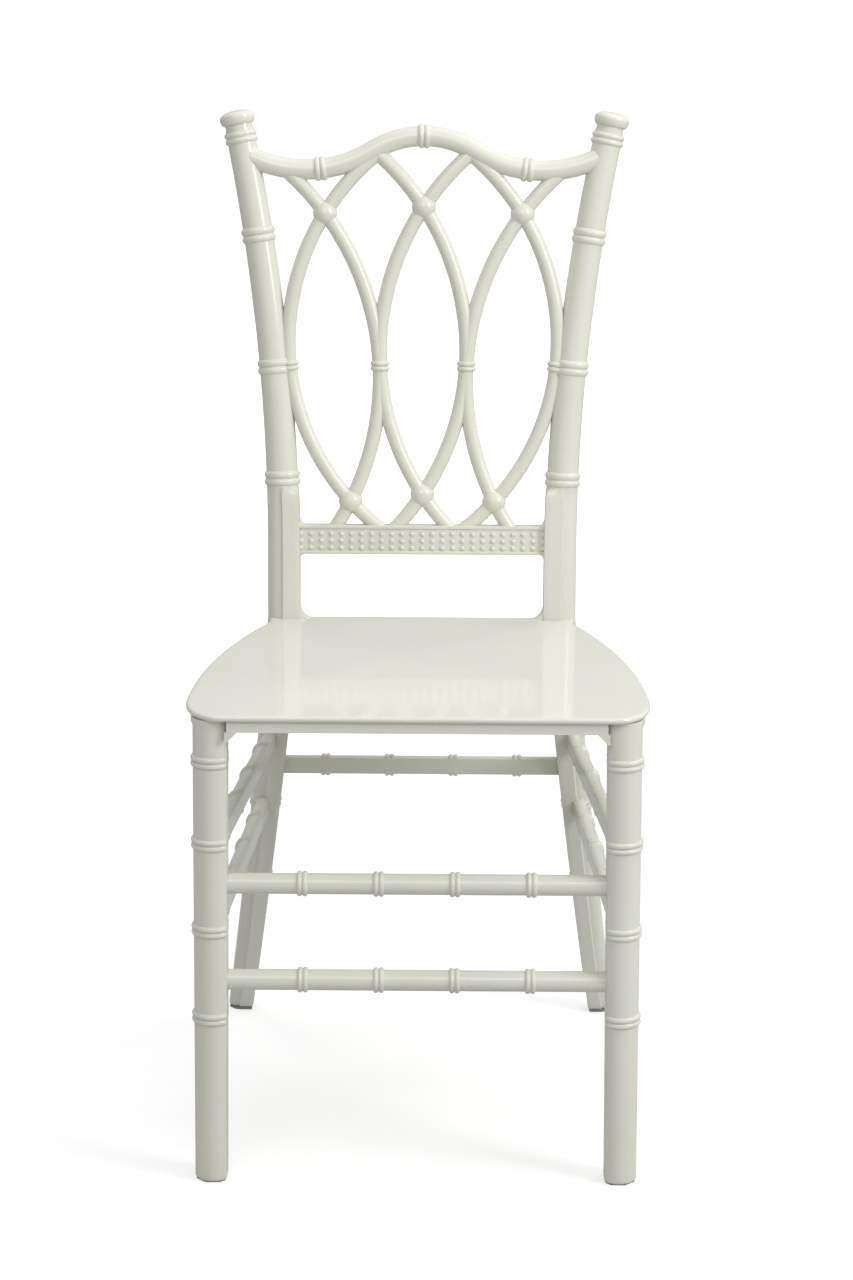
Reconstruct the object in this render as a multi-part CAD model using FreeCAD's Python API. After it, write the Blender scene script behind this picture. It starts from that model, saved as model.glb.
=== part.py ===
import FreeCAD, Part
import math
import os

from FreeCAD import Vector

# Moulded resin dining chair of the bamboo pattern, with a back of crossing bent ribs.
# Millimetres. X runs to the viewer's right, the seat's front edge faces -Y, Z is up.
# The origin is on the floor, under the middle of the whole chair.
# "Left" is the viewer's left. Right-hand pieces are mirror images of the left-hand ones.
# A "run" is a distance behind the seat's front edge.

# Seat
seat_height = 437.0
seat_width = 409.0
seat_depth = 386.0
seat_edge = 5.5
seat_front_flat = 344.0
seat_widest_run = 58.0
seat_mid_width = 384.0
seat_mid_run = 205.0
seat_rear_width = 301.0
seat_rear_run = 360.0
seat_overhang = 4.0
seat_rib_depth = 7.0
seat_rib_wall = 2.5
seat_rib_columns = 5
seat_rib_rows = 5

# Concave webs between the seat's back edge and the posts
ear_width = 12.0
ear_height = 16.0
ear_thickness = 8.0
ear_hollow = 0.2

# Seat frame below the shell
rail_height = 10.0
rail_thickness = 20.0
gusset_size = 9.0

# Front legs: round, with a flat on the inner side
front_leg_run = 24.0
front_leg_top_spacing = 357.6
front_leg_foot_spacing = 366.0
front_leg_top_radius = 17.4
front_leg_foot_radius = 16.4
front_leg_flat = 0.77

# Back posts: one piece from the foot to the finial
post_run = 388.0
post_spacing = 273.6
post_seat_radius = 15.9
post_top_radius = 13.8
post_foot_radius = 12.4
post_top_height = 910.5
post_bend_start = 500.0
post_bend_radius = 1990.0
post_square_top = 574.0
post_square_proud = 0.8
seat_bend_span = 45.0
foot_splay_out = 52.5
foot_splay_back = 66.5
foot_bow = 0.18
back_lean = 5.0
back_pivot_height = 450.0

# Finials
finial_cap_radius = 17.0
finial_cap_height = 14.0
finial_neck_radius = 13.0
finial_neck_height = 4.5
finial_tenon_radius = 6.0
finial_tenon_length = 18.0

# The crest rail and the ribs share one plane, this far in front of the posts' centres
back_plane_offset = 3.4

# Crest rail: a hump between two dips, made of tangent arcs
crest_radius = 9.75
crest_peak_height = 905.0
crest_dip_height = 872.6
crest_dip_offset = 115.0
crest_hump_radius = 95.0
crest_ring_offset = 100.5

# Lumbar rail
lumbar_height = 28.8
lumbar_centre_height = 514.0
lumbar_thickness = 17.0
lumbar_border = 3.6
lumbar_border_proud = 1.2

# Bent ribs of the back: each is one arc, given by its bend radius and its widest point
rib_radius = 7.0
outer_rib_bend = 233.0
outer_rib_reach = 131.5
outer_rib_height = 708.0
inner_rib_bend = 268.0
inner_rib_height = 671.0
centre_rib_bend = 253.0
centre_rib_height = 698.0
waist_offset = 42.3
waist_collar_height = 684.0
boss_radius = 11.6

# Stretchers: round, with one flat side
stretcher_radius = 9.3
stretcher_flat = 5.2
front_upper_height = 278.4
front_lower_height = 188.5
side_upper_height = 308.3
side_lower_height = 235.0
rear_stretcher_height = 277.0
front_ring_pitch = 67.5
rear_ring_pitch = 64.5
side_ring_pitch = 84.0

# Double rings
leg_ring_heights = (392.0, 317.0, 237.0, 155.0)
post_ring_heights = (574.0, 683.0, 810.0)
leg_ring_band = 10.5
post_ring_band = 14.0
stretcher_ring_band = 9.5
crest_ring_band = 11.0
rib_ring_band = 10.0
ring_proud = 2.0
ring_groove = 0.6
ring_sink = 0.3

# Joints, glides and screws
joint_gap = 0.25
tenon_radius = 5.5
tenon_length = 14.0
socket_end_gap = 1.0
lumbar_tenon_height = 16.0
lumbar_tenon_thickness = 6.0
rib_pin_radius = 3.0
rib_pin_length = 7.0
rail_pin_radius = 3.0
rail_pin_length = 7.0
crest_tenon_length = 10.0
leg_top_gap = 0.4
glide_height = 3.0
glide_inset = 1.2
glide_stem_radius = 4.0
glide_stem_length = 12.0
block_reach = 96.0
bolt_tip_cover = 8.0
screw_radius = 2.0
screw_head_radius = 4.0
screw_head_height = 2.2
screw_bite = 3.5

# To keep the mesh light, round bars have this many flats, pins and screws have fewer,
# and a bend turns by steps of about this many degrees
bar_sides = 8
pin_sides = 6
bend_step = 4.0

seat_under = seat_height - seat_edge
rail_bottom = seat_under - rail_height
block_bottom = rail_bottom + 1.0
post_half = post_spacing / 2
overall_depth = post_run + foot_splay_back + post_foot_radius
lean = math.radians(back_lean)

os.makedirs("parts", exist_ok=True)


def y_at(run):
    """Turn a run behind the seat's front edge into a Y coordinate."""
    return run - overall_depth / 2


def save(name, shape):
    """Write one sub-part under its node name."""
    shape.exportStep("parts/" + name + ".step")


def mirrored(shape):
    """The right-hand twin of a left-hand shape."""
    return shape.mirror(Vector(0, 0, 0), Vector(1, 0, 0))


def leaned(shape):
    """Tip a shape that was modelled upright back with the chair's back."""
    tipped = shape.copy()
    tipped.rotate(Vector(0, y_at(post_run), back_pivot_height), Vector(1, 0, 0), -back_lean)
    return tipped


def upright(height):
    """Height to use in the upright back frame for a real height on the leaning back."""
    return back_pivot_height + (height - back_pivot_height) / math.cos(lean)


def frame_at(origin, direction, sideways=Vector(1, 0, 0)):
    """Placement whose Z follows direction and whose X is as near to sideways as it can be."""
    z_axis = Vector(direction).normalize()
    if abs(z_axis.dot(sideways)) > 0.99:
        sideways = Vector(0, 1, 0)
    x_axis = (sideways - z_axis * sideways.dot(z_axis)).normalize()
    y_axis = z_axis.cross(x_axis)
    turn = FreeCAD.Rotation(x_axis, y_axis, z_axis, "ZXY")
    return FreeCAD.Placement(origin, turn)


def placed(shape, placement):
    """A copy of a shape modelled at the origin, moved to a placement."""
    moved = shape.copy()
    moved.Placement = placement.multiply(moved.Placement)
    return moved


def swell(sides):
    """How much wider a many-sided bar is made, so that it is as thick as the round one."""
    turn = 2 * math.pi / sides
    return math.sqrt(turn / math.sin(turn))


def closed_wire(points):
    return Part.makePolygon(points + [points[0]])


def arc_points(radius, start, end, count):
    """Corners of a many-sided bar, spread from one angle about Z to another."""
    angles = [start + (end - start) * (i + 0.5) / count for i in range(count)]
    return [Vector(radius * math.cos(a), radius * math.sin(a), 0) for a in angles]


def round_section(radius, sides=bar_sides):
    return arc_points(radius * swell(sides), 0, 2 * math.pi, sides)


def round_wire(radius, sides=bar_sides):
    return closed_wire(round_section(radius, sides))


def cylinder(start, end, radius, sides=pin_sides):
    """Round pin between two points."""
    along = end - start
    pin = Part.Face(round_wire(radius, sides)).extrude(Vector(0, 0, along.Length))
    return placed(pin, frame_at(start, along))


def flat_faces(a, b, c, d):
    """One face through four corners, or two where they don't lie in one plane."""
    twist = abs((b - a).cross(c - a).dot(d - a))
    if twist < 1e-6:
        return [Part.Face(closed_wire([a, b, c, d]))]
    return [Part.Face(closed_wire([a, b, c])), Part.Face(closed_wire([a, c, d]))]


def skinned(rings):
    """Solid with flat faces through a row of rings of points."""
    faces = [Part.Face(closed_wire(rings[0])), Part.Face(closed_wire(rings[-1]))]
    for low, high in zip(rings, rings[1:]):
        for i in range(len(low)):
            faces += flat_faces(low[i - 1], low[i], high[i], high[i - 1])
    return Part.Solid(Part.Shell(faces))


def turned(levels, section=round_section):
    """Solid through a row of sections, each given by its height and its radius."""
    return skinned([[point + Vector(0, 0, height) for point in section(radius)]
                    for height, radius in levels])


def bent(section, centre, axis, turn):
    """Bar whose section, a ring of points, is carried round an axis by an angle in degrees."""
    steps = max(1, round(turn / bend_step))
    rings = []
    for i in range(steps + 1):
        swing = FreeCAD.Rotation(axis, turn * i / steps)
        rings.append([centre + swing.multVec(point - centre) for point in section])
    return skinned(rings)


def slab(x_range, y_range, z_range):
    """Box from its lowest and highest coordinates."""
    size = Vector(x_range[1] - x_range[0], y_range[1] - y_range[0], z_range[1] - z_range[0])
    return Part.makeBox(size.x, size.y, size.z, Vector(x_range[0], y_range[0], z_range[0]))


def ring_levels(place, band, radius, edge):
    """Levels of a pair of ridges about a place on a bar; the ridges rise from the edge radius."""
    half = band / 2
    return [
        (place - half, edge),
        (place - half / 2, radius + ring_proud),
        (place, radius + ring_groove),
        (place + half / 2, radius + ring_proud),
        (place + half, edge),
    ]


def double_ring(radius, band, section=round_section):
    """A pair of ridges about the origin, to be fused to a bar of this radius along the Z axis."""
    return turned(ring_levels(0, band, radius, radius - ring_sink), section)


def d_section(radius, flat):
    """Round section about the origin with a flat side facing +X at this distance."""
    edge = math.acos(flat / radius)
    chord = radius * math.sin(edge)
    curve = arc_points(radius * swell(bar_sides), edge, 2 * math.pi - edge, bar_sides - 2)
    return [Vector(flat, chord, 0)] + curve + [Vector(flat, -chord, 0)]


def d_bar(start, end, flat_side, radii, flats, ring_places, band):
    """Tapered bar with one flat side, and double rings that stop at the flat."""
    length = (end - start).Length

    def between(pair, place):
        return pair[0] + (pair[1] - pair[0]) * place / length

    levels = [(0, radii[0])]
    for place in sorted(ring_places):
        radius = between(radii, place)
        levels += ring_levels(place, band, radius, radius)
    levels.append((length, radii[1]))
    rings = []
    for place, radius in levels:
        ring = d_section(radius, between(flats, place))
        rings.append([point + Vector(0, 0, place) for point in ring])
    return placed(skinned(rings), frame_at(start, end - start, flat_side))


def coped(member, neighbour, way):
    """Shape a member's end to its neighbour, leaving the joint gap along the way it goes in."""
    near = neighbour.copy()
    near.translate(Vector(way).normalize() * -joint_gap)
    return member.cut(near)


# Back posts

def leg_offset(height):
    """Share of the foot's splay that the rear leg has reached at this height."""
    drop = (seat_height - height) / seat_height
    return (1 - foot_bow) * drop + foot_bow * drop ** 2


def post_centre(height):
    """Centre of the left back post. Above the seat it follows the leaning back."""
    if height <= seat_height:
        share = leg_offset(height)
        x = -post_half - foot_splay_out * share
        return Vector(x, y_at(post_run) + foot_splay_back * share, height)
    bend = max(0.0, height - post_bend_start)
    rise = max(0.0, height - back_pivot_height)
    x = -post_half - bend ** 2 / (2 * post_bend_radius)
    return Vector(x, y_at(post_run) + rise * math.tan(lean), height)


def post_radius(height):
    """The post is thickest at the seat and tapers both ways."""
    if height <= seat_height:
        share = (seat_height - height) / seat_height
        return post_seat_radius + (post_foot_radius - post_seat_radius) * share
    share = max(0.0, height - post_bend_start) / (post_top_height - post_bend_start)
    return post_seat_radius + (post_top_radius - post_seat_radius) * share


def post_frame(height):
    """Placement across the post at this height."""
    step = 6.0
    along = post_centre(height + step) - post_centre(height - step)
    return frame_at(post_centre(height), along)


def square_section(radius, face=None):
    """Post section below the third ring: round, with a square corner at the front, inside."""
    face = face or radius + post_square_proud
    curve = arc_points(radius * swell(bar_sides), 0, 1.5 * math.pi, bar_sides - 2)
    return curve + [Vector(0, -face, 0), Vector(face, -face, 0), Vector(face, 0, 0)]


def post_loft(section, heights):
    """Smooth solid through the post's sections at these heights."""
    wires = [placed(closed_wire(section(post_radius(h))), post_frame(h)) for h in heights]
    return Part.makeLoft(wires, True, False)


def raw_post():
    """Left back post with its rings, before any socket is cut."""
    below = glide_height - post_foot_radius
    knee = seat_height - seat_bend_span
    over = seat_height + seat_bend_span
    leg = post_loft(square_section, (below, (below + knee) / 2, knee))
    middle = post_loft(square_section, (knee, (knee + 2 * seat_height) / 3, over, post_bend_start,
                                        (over + post_square_top) / 2, post_square_top))
    steps = 6
    rise = (post_top_height - post_square_top) / steps
    upper = post_loft(round_section, [post_square_top + rise * i for i in range(steps + 1)])
    post = leg.fuse(middle).fuse(upper)
    for height in post_ring_heights:
        ring = double_ring(post_radius(height), post_ring_band)
        post = post.fuse(placed(ring, post_frame(height)))
    top_ring = double_ring(post_top_radius, crest_ring_band)
    top_ring.translate(Vector(0, 0, -crest_ring_band / 2 - ring_proud))
    post = post.fuse(placed(top_ring, post_frame(post_top_height)))
    for height in leg_ring_heights:
        radius = post_radius(height)
        face = radius + post_square_proud - ring_sink
        ring = double_ring(radius, leg_ring_band, lambda wide: square_section(wide, face))
        post = post.fuse(placed(ring, post_frame(height)))
    return post.cut(slab((-post_spacing, 0), (0, post_spacing), (-post_foot_radius * 4, glide_height)))


def finial():
    """Left finial: a flattened cap on a neck, with a tenon down into the post."""
    neck_top = finial_neck_height
    top = neck_top + finial_cap_height
    levels = [
        (joint_gap, finial_neck_radius),
        (neck_top, finial_neck_radius),
        (neck_top + finial_cap_height * 0.15, finial_cap_radius * 0.93),
        (neck_top + finial_cap_height * 0.35, finial_cap_radius),
        (neck_top + finial_cap_height * 0.65, finial_cap_radius),
        (neck_top + finial_cap_height * 0.85, finial_cap_radius * 0.86),
        (top - finial_cap_height * 0.04, finial_cap_radius * 0.5),
        (top, finial_cap_radius * 0.1),
    ]
    tenon = cylinder(Vector(0, 0, -finial_tenon_length), Vector(0, 0, neck_top), finial_tenon_radius)
    return placed(turned(levels).fuse(tenon), post_frame(post_top_height))


# Crest rail

def back_plane_y():
    """Y of the crest rail's and the ribs' common plane, in the upright back frame."""
    return y_at(post_run) - back_plane_offset


def crest_radii():
    """Bend radii of the crest rail's hump and dips, and the angle at which they join."""
    drop = upright(crest_peak_height) - upright(crest_dip_height)
    both = (crest_dip_offset ** 2 + drop ** 2) / (2 * drop)
    return crest_hump_radius, both - crest_hump_radius, math.asin(crest_dip_offset / both)


def crest_height(x):
    """Height of the crest rail's centre line at this x, in the upright back frame."""
    hump, dip, turn = crest_radii()
    if abs(x) < hump * math.sin(turn):
        return upright(crest_peak_height) - hump + math.sqrt(hump ** 2 - x ** 2)
    along = abs(x) - crest_dip_offset
    return upright(crest_dip_height) + dip - math.sqrt(dip ** 2 - along ** 2)


def crest_point(x):
    return Vector(x, back_plane_y(), crest_height(x))


def crest_way(x):
    """Direction of the crest rail at this x, towards +X."""
    step = 0.01
    return (crest_point(x + step) - crest_point(x - step)).normalize()


def crest_arc(radius, x, centre, turn):
    """Bar that starts at x on the crest rail and turns about a centre."""
    across = frame_at(crest_point(x), crest_way(x), Vector(0, 1, 0))
    section = [across.multVec(point) for point in round_section(radius)]
    return bent(section, centre, Vector(0, 1, 0), math.degrees(turn))


def crest_tube(radius):
    """Bar along the crest rail's centre line, in the upright back frame."""
    hump, dip, turn = crest_radii()
    join = -hump * math.sin(turn)
    y = back_plane_y()
    peak_centre = Vector(0, y, upright(crest_peak_height) - hump)
    dip_centre = Vector(-crest_dip_offset, y, upright(crest_dip_height) + dip)
    past_dip = math.asin((path_end_x() - crest_dip_offset) / dip)
    middle = crest_arc(radius, join, peak_centre, 2 * turn)
    left = crest_arc(radius, join, dip_centre, turn + past_dip)
    return middle.fuse(left).fuse(mirrored(left)).removeSplitter()


def path_end_x():
    """Distance from the chair's middle to a post's centre, level with the crest rail."""
    return -post_centre(crest_dip_height).x


def raw_crest():
    """Crest rail with its three double rings, still running into both posts."""
    rail = crest_tube(crest_radius)
    for x in (-crest_ring_offset, 0.0, crest_ring_offset):
        ring = double_ring(crest_radius, crest_ring_band)
        rail = rail.fuse(placed(ring, frame_at(crest_point(x), crest_way(x), Vector(0, 1, 0))))
    return leaned(rail)


# Bent ribs

class Rib:
    """One bent rib of the back: an arc in the upright back frame."""

    def __init__(self, reach, height, bend, side):
        self.centre = Vector(reach - side * bend, back_plane_y(), upright(height))
        self.bend = bend
        self.side = side

    def point(self, level):
        """Point of the rib's centre line at this level of the upright frame."""
        rise = level - self.centre.z
        x = self.centre.x + self.side * math.sqrt(self.bend ** 2 - rise ** 2)
        return Vector(x, self.centre.y, level)

    def top(self):
        """Level at which the rib's centre line meets the crest rail's."""
        low = upright(crest_dip_height) - 4 * crest_radius
        high = upright(crest_peak_height)
        while high - low > 0.001:
            middle = (low + high) / 2
            point = self.point(middle)
            if point.z < crest_height(point.x):
                low = middle
            else:
                high = middle
        return low

    def tube(self, radius, low, high, sides=bar_sides):
        """Bar of this radius along the arc, between two levels."""
        start = self.point(low)
        spoke = start - self.centre
        turn = math.degrees(spoke.getAngle(self.point(high) - self.centre))
        across = frame_at(start, Vector(-spoke.z, 0, spoke.x) * self.side, Vector(0, 1, 0))
        section = [across.multVec(point) for point in round_section(radius, sides)]
        return bent(section, self.centre, Vector(0, -self.side, 0), turn)


boss_angles = [math.radians(angle) for angle in (-75, -40, 0, 40, 75)]
lumbar_top = upright(lumbar_centre_height) + lumbar_height / 2
outer_rib = Rib(-outer_rib_reach, outer_rib_height, outer_rib_bend, -1)
inner_rib = Rib(-waist_offset, inner_rib_height, inner_rib_bend, 1)
centre_rib = Rib(-waist_offset, centre_rib_height, centre_rib_bend, -1)
centre_rib_twin = Rib(waist_offset, centre_rib_height, centre_rib_bend, 1)


def crossings(first, second):
    """The two points where the arcs of two ribs cross."""
    between = second.centre - first.centre
    gap = between.Length
    share = (first.bend ** 2 - second.bend ** 2 + gap ** 2) / (2 * gap)
    half = math.sqrt(first.bend ** 2 - share ** 2)
    middle = first.centre + between * (share / gap)
    across = Vector(-between.z, 0, between.x) * (half / gap)
    return [middle + across, middle - across]


def half_space(front):
    """Everything in front of, or behind, the middle plane of the ribs."""
    y = back_plane_y()
    reach = boss_radius * 3
    span = (y - reach, y - joint_gap / 2) if front else (y + joint_gap / 2, y + reach)
    return slab((-post_half, post_half), span, (seat_height, post_top_height + reach))


def rib_body(rib, radius, bosses=(), grow=0.0):
    """Whole rib between the rails, with a boss at each of the given points."""
    body = rib.tube(radius + grow, lumbar_top - rib_pin_length, rib.top())
    for point in bosses:
        body = body.fuse(boss(point, boss_radius + grow))
    return body


def boss(point, radius):
    """Ball where two ribs cross, turned about the line of sight."""
    levels = [(radius * math.sin(angle), radius * math.cos(angle)) for angle in boss_angles]
    return placed(turned(levels), frame_at(point, Vector(0, 1, 0)))


def crossing_pair(front_rib, rear_rib):
    """Halve two ribs into each other at both crossings. The front one carries the bosses."""
    points = crossings(front_rib, rear_rib)
    front_body = rib_body(front_rib, rib_radius, points)
    rear_body = rib_body(rear_rib, rib_radius)
    front_tool = rib_body(front_rib, rib_radius, points, joint_gap).common(half_space(True))
    rear_tool = rib_body(rear_rib, rib_radius, (), joint_gap).common(half_space(False))
    return front_body.cut(rear_tool), rear_body.cut(front_tool)


def waist_ring(x, bore):
    """Double ring at the ribs' waist, with a bore if it is a collar of its own."""
    place = Vector(x, back_plane_y(), upright(waist_collar_height))
    ring = double_ring(rib_radius, rib_ring_band)
    if bore:
        ring = ring.cut(cylinder(Vector(0, 0, -rib_ring_band), Vector(0, 0, rib_ring_band), bore, bar_sides))
    return placed(ring, FreeCAD.Placement(place, FreeCAD.Rotation()))


def rib_pins(rib, grow=0.0):
    """The two pins that carry a rib in the lumbar rail and in the crest rail."""
    radius = rib_pin_radius + grow
    low_end = lumbar_top - rib_pin_length - grow
    low = rib.tube(radius, low_end, lumbar_top + rib_pin_length, pin_sides)
    high_start = rib.top() - 2 * crest_radius - rib_pin_length
    high = rib.tube(radius, high_start, rib.top(), pin_sides)
    return low, high


def finished_rib(body, rib, stop=None):
    """Cope a rib to the rails, and to the rib or post beside it, and add its pins."""
    body = body.cut(crest_tube(crest_radius + joint_gap))
    body = body.cut(slab((-post_half, post_half), (back_plane_y() - 40, back_plane_y() + 40),
                         (seat_height, lumbar_top + joint_gap)))
    if stop:
        body = body.cut(stop)
    body = largest(body)
    for pin in rib_pins(rib):
        body = body.fuse(pin)
    return leaned(body)


def largest(shape):
    """The biggest solid of a cut, without the crumbs beyond the joint."""
    return sorted(shape.Solids, key=lambda solid: solid.Volume)[-1]


def waist_side(side):
    """Everything beyond the left waist's middle plane, on one side."""
    near = -waist_offset - side * joint_gap / 2
    far = -waist_offset + side * rib_radius * 3
    return slab(sorted((near, far)), (back_plane_y() - 40, back_plane_y() + 40),
                (lumbar_top, upright(crest_dip_height) - boss_radius * 3))


# Lumbar rail

def lumbar_end(grow=0.0):
    """Tenon of the lumbar rail's left end, in the upright back frame."""
    inner = -post_half + post_seat_radius + post_square_proud
    half_t = lumbar_tenon_thickness / 2 + grow
    half_h = lumbar_tenon_height / 2 + grow
    level = upright(lumbar_centre_height)
    reach = inner - tenon_length - (socket_end_gap if grow else 0)
    y = back_plane_y()
    return slab((reach, inner + tenon_length), (y - half_t, y + half_t), (level - half_h, level + half_h))


def raw_lumbar():
    """Lumbar rail: a flat bar whose front is sunk between two raised borders."""
    half_t = lumbar_thickness / 2
    half_h = lumbar_height / 2
    level = upright(lumbar_centre_height)
    y = back_plane_y()
    bar = slab((-post_half, post_half), (y - half_t, y + half_t), (level - half_h, level + half_h))
    bar = bar.makeFillet(1.5, [e for e in bar.Edges if abs(e.tangentAt(0).x) > 0.9])
    panel_half = half_h - lumbar_border
    panel_reach = post_half - post_seat_radius - post_square_proud - lumbar_border
    panel = slab((-panel_reach, panel_reach), (y - half_t - 1, y - half_t + lumbar_border_proud),
                 (level - panel_half, level + panel_half))
    return leaned(bar.cut(panel))


# Seat and its frame

def seat_face(inset):
    """The seat's outline, drawn in by this much, as a face on the floor."""
    corner = Vector(-seat_front_flat / 2, y_at(inset), 0)
    widest = Vector(-seat_width / 2 + inset, y_at(seat_widest_run), 0)
    middle = Vector(-seat_mid_width / 2 + inset, y_at(seat_mid_run), 0)
    side_end = Vector(-seat_rear_width / 2 + inset, y_at(seat_rear_run), 0)
    rear = Vector(side_end.x, y_at(seat_depth - inset), 0)
    pull = 0.5523
    turn = Part.BezierCurve()
    turn.setPoles([
        corner,
        corner + Vector(widest.x - corner.x, 0, 0) * pull,
        widest + Vector(0, corner.y - widest.y, 0) * pull,
        widest,
    ])
    side = Part.Arc(widest, middle, side_end)
    left = [turn.toShape(), side.toShape(), Part.LineSegment(side_end, rear).toShape()]
    right = [mirrored(edge) for edge in left]
    front_edge = Part.LineSegment(corner, Vector(-corner.x, corner.y, 0)).toShape()
    rear_edge = Part.LineSegment(rear, Vector(-rear.x, rear.y, 0)).toShape()
    return Part.Face(Part.Wire(Part.__sortEdges__(left + [front_edge, rear_edge] + right)))


def seat_prism(inset, low, high):
    """Block of the seat's outline, drawn in by this much, between two heights."""
    face = seat_face(inset)
    face.translate(Vector(0, 0, low))
    return face.extrude(Vector(0, 0, high - low))


def post_block(grow, low, high):
    """Left post's squared part between two heights, grown all round."""
    sections = []
    for height in (low, (low + high) / 2, high):
        wire = closed_wire(square_section(post_radius(height) + grow))
        sections.append(placed(wire, post_frame(height)))
    return Part.makeLoft(sections, True, False)


def front_leg_x(height):
    """X of the left front leg's centre at a height."""
    share = height / seat_under
    spacing = front_leg_foot_spacing + (front_leg_top_spacing - front_leg_foot_spacing) * share
    return -spacing / 2


def front_leg_radius(height):
    share = height / seat_under
    return front_leg_foot_radius + (front_leg_top_radius - front_leg_foot_radius) * share


def front_leg_block(grow, low, high, rings=()):
    """Left front leg between two heights, grown all round."""
    start = Vector(front_leg_x(low), y_at(front_leg_run), low)
    end = Vector(front_leg_x(high), y_at(front_leg_run), high)
    radii = [front_leg_radius(height) + grow for height in (low, high)]
    flats = [front_leg_radius(height) * front_leg_flat + grow for height in (low, high)]
    places = [height - low for height in rings]
    return d_bar(start, end, Vector(1, 0, 0), radii, flats, places, leg_ring_band)


def seat_ribs():
    """Grid of stiffening ribs under the seat, clear of the frame and its blocks."""
    half_x = seat_rear_width / 2 - block_reach / 2
    first_run = block_reach / 2
    last_run = seat_depth - block_reach / 2 - rail_thickness
    low = seat_under - seat_rib_depth
    ribs = []
    for column in range(seat_rib_columns):
        x = -half_x + 2 * half_x * column / (seat_rib_columns - 1)
        ribs.append(slab((x - seat_rib_wall / 2, x + seat_rib_wall / 2),
                         (y_at(first_run), y_at(last_run)), (low, seat_under + 1)))
    for row in range(seat_rib_rows):
        run = first_run + (last_run - first_run) * row / (seat_rib_rows - 1)
        ribs.append(slab((-half_x - seat_rib_wall / 2, half_x + seat_rib_wall / 2),
                         (y_at(run) - seat_rib_wall / 2, y_at(run) + seat_rib_wall / 2),
                         (low, seat_under + 1)))
    return ribs


def seat_ear():
    """Concave web that rises from the seat's back edge against the left post's inner side."""
    side = post_inner_face(seat_height).x
    back = y_at(seat_depth - seat_edge)
    low = seat_height - seat_edge / 2
    foot = Vector(side + ear_width, back, seat_height)
    tip = Vector(side, back, seat_height + ear_height)
    sag = (foot + tip) / 2 + Vector(-ear_width, 0, -ear_height) * ear_hollow
    curve = Part.Arc(foot, sag, tip).toShape()
    inner = Vector(side - post_seat_radius, back, tip.z)
    base = Vector(inner.x, back, low)
    under = Vector(foot.x, back, low)
    corners = [tip, inner, base, under, foot]
    lines = [Part.LineSegment(a, b).toShape() for a, b in zip(corners, corners[1:])]
    return Part.Face(Part.Wire([curve] + lines)).extrude(Vector(0, -ear_thickness, 0))


def seat_shell(post_clearance):
    """Seat plate with a rounded edge, notched round the posts and ribbed below."""
    soft = seat_edge * 0.3
    levels = [(0, soft), (soft, 0), (seat_edge - soft, 0), (seat_edge, soft)]
    wires = []
    for rise, inset in levels:
        wire = seat_face(inset).OuterWire
        wire.translate(Vector(0, 0, seat_under + rise))
        wires.append(wire)
    plate = Part.makeLoft(wires, True, True)
    plate = plate.multiFuse(seat_ribs() + [seat_ear(), mirrored(seat_ear())])
    for block in (post_clearance, mirrored(post_clearance)):
        plate = plate.cut(block)
    return plate


def frame_band():
    """Ring of the seat frame, before it is cut into its four rails."""
    outer = seat_prism(seat_overhang, rail_bottom, seat_under)
    return outer.cut(seat_prism(seat_overhang + rail_thickness, rail_bottom - 1, seat_under + 1))


def apron_gusset(inner_x):
    """Small corner web under the apron, beside the left leg."""
    run = seat_overhang
    points = [
        Vector(inner_x - 2, y_at(run), rail_bottom - gusset_size),
        Vector(inner_x, y_at(run), rail_bottom - gusset_size),
        Vector(inner_x + gusset_size, y_at(run), rail_bottom),
        Vector(inner_x - 2, y_at(run), rail_bottom),
    ]
    face = Part.Face(Part.makePolygon(points + [points[0]]))
    web = face.extrude(Vector(0, rail_thickness, 0))
    return web


def corner_block(corner_x, corner_run, run_way, clearances):
    """Triangular block in a corner of the seat frame, fitted to the rails and the leg."""
    high = seat_under - joint_gap
    points = [
        Vector(corner_x, y_at(corner_run), block_bottom),
        Vector(corner_x + block_reach, y_at(corner_run), block_bottom),
        Vector(corner_x, y_at(corner_run + run_way * block_reach), block_bottom),
    ]
    face = Part.Face(Part.makePolygon(points + [points[0]]))
    block = face.extrude(Vector(0, 0, high - block_bottom))
    inside = seat_prism(seat_overhang + rail_thickness + joint_gap, block_bottom, high)
    block = block.common(inside)
    for tool in clearances:
        block = block.cut(tool)
    return largest(block)


# Joints between pieces

def pin_joint(point, way, radius, length):
    """A round tenon that enters the neighbour at a point, and the socket that it fits."""
    way = Vector(way).normalize()
    pin = cylinder(point - way * length / 2, point + way * length, radius)
    socket = cylinder(point - way * 2, point + way * (length + socket_end_gap), radius + joint_gap)
    return pin, socket


def ring_places(length, pitch, count=4):
    """Distances along a stretcher of rings set evenly about its middle."""
    return [length / 2 + pitch * (i - (count - 1) / 2) for i in range(count)]


def stretcher(start, end, flat_side, pitch):
    """Stretcher between two centre points, with its flat on one side."""
    places = ring_places((end - start).Length, pitch)
    radii = (stretcher_radius, stretcher_radius)
    flats = (stretcher_flat, stretcher_flat)
    return d_bar(start, end, flat_side, radii, flats, places, stretcher_ring_band)


def front_leg_centre(height):
    return Vector(front_leg_x(height), y_at(front_leg_run), height)


def front_leg_face(height):
    """Point on the flat inner side of the left front leg."""
    return front_leg_centre(height) + Vector(front_leg_radius(height) * front_leg_flat, 0, 0)


def post_inner_face(height):
    """Point on the flat inner side of the left rear leg, level with its centre."""
    return post_centre(height) + Vector(post_radius(height) + post_square_proud, 0, 0)


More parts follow.
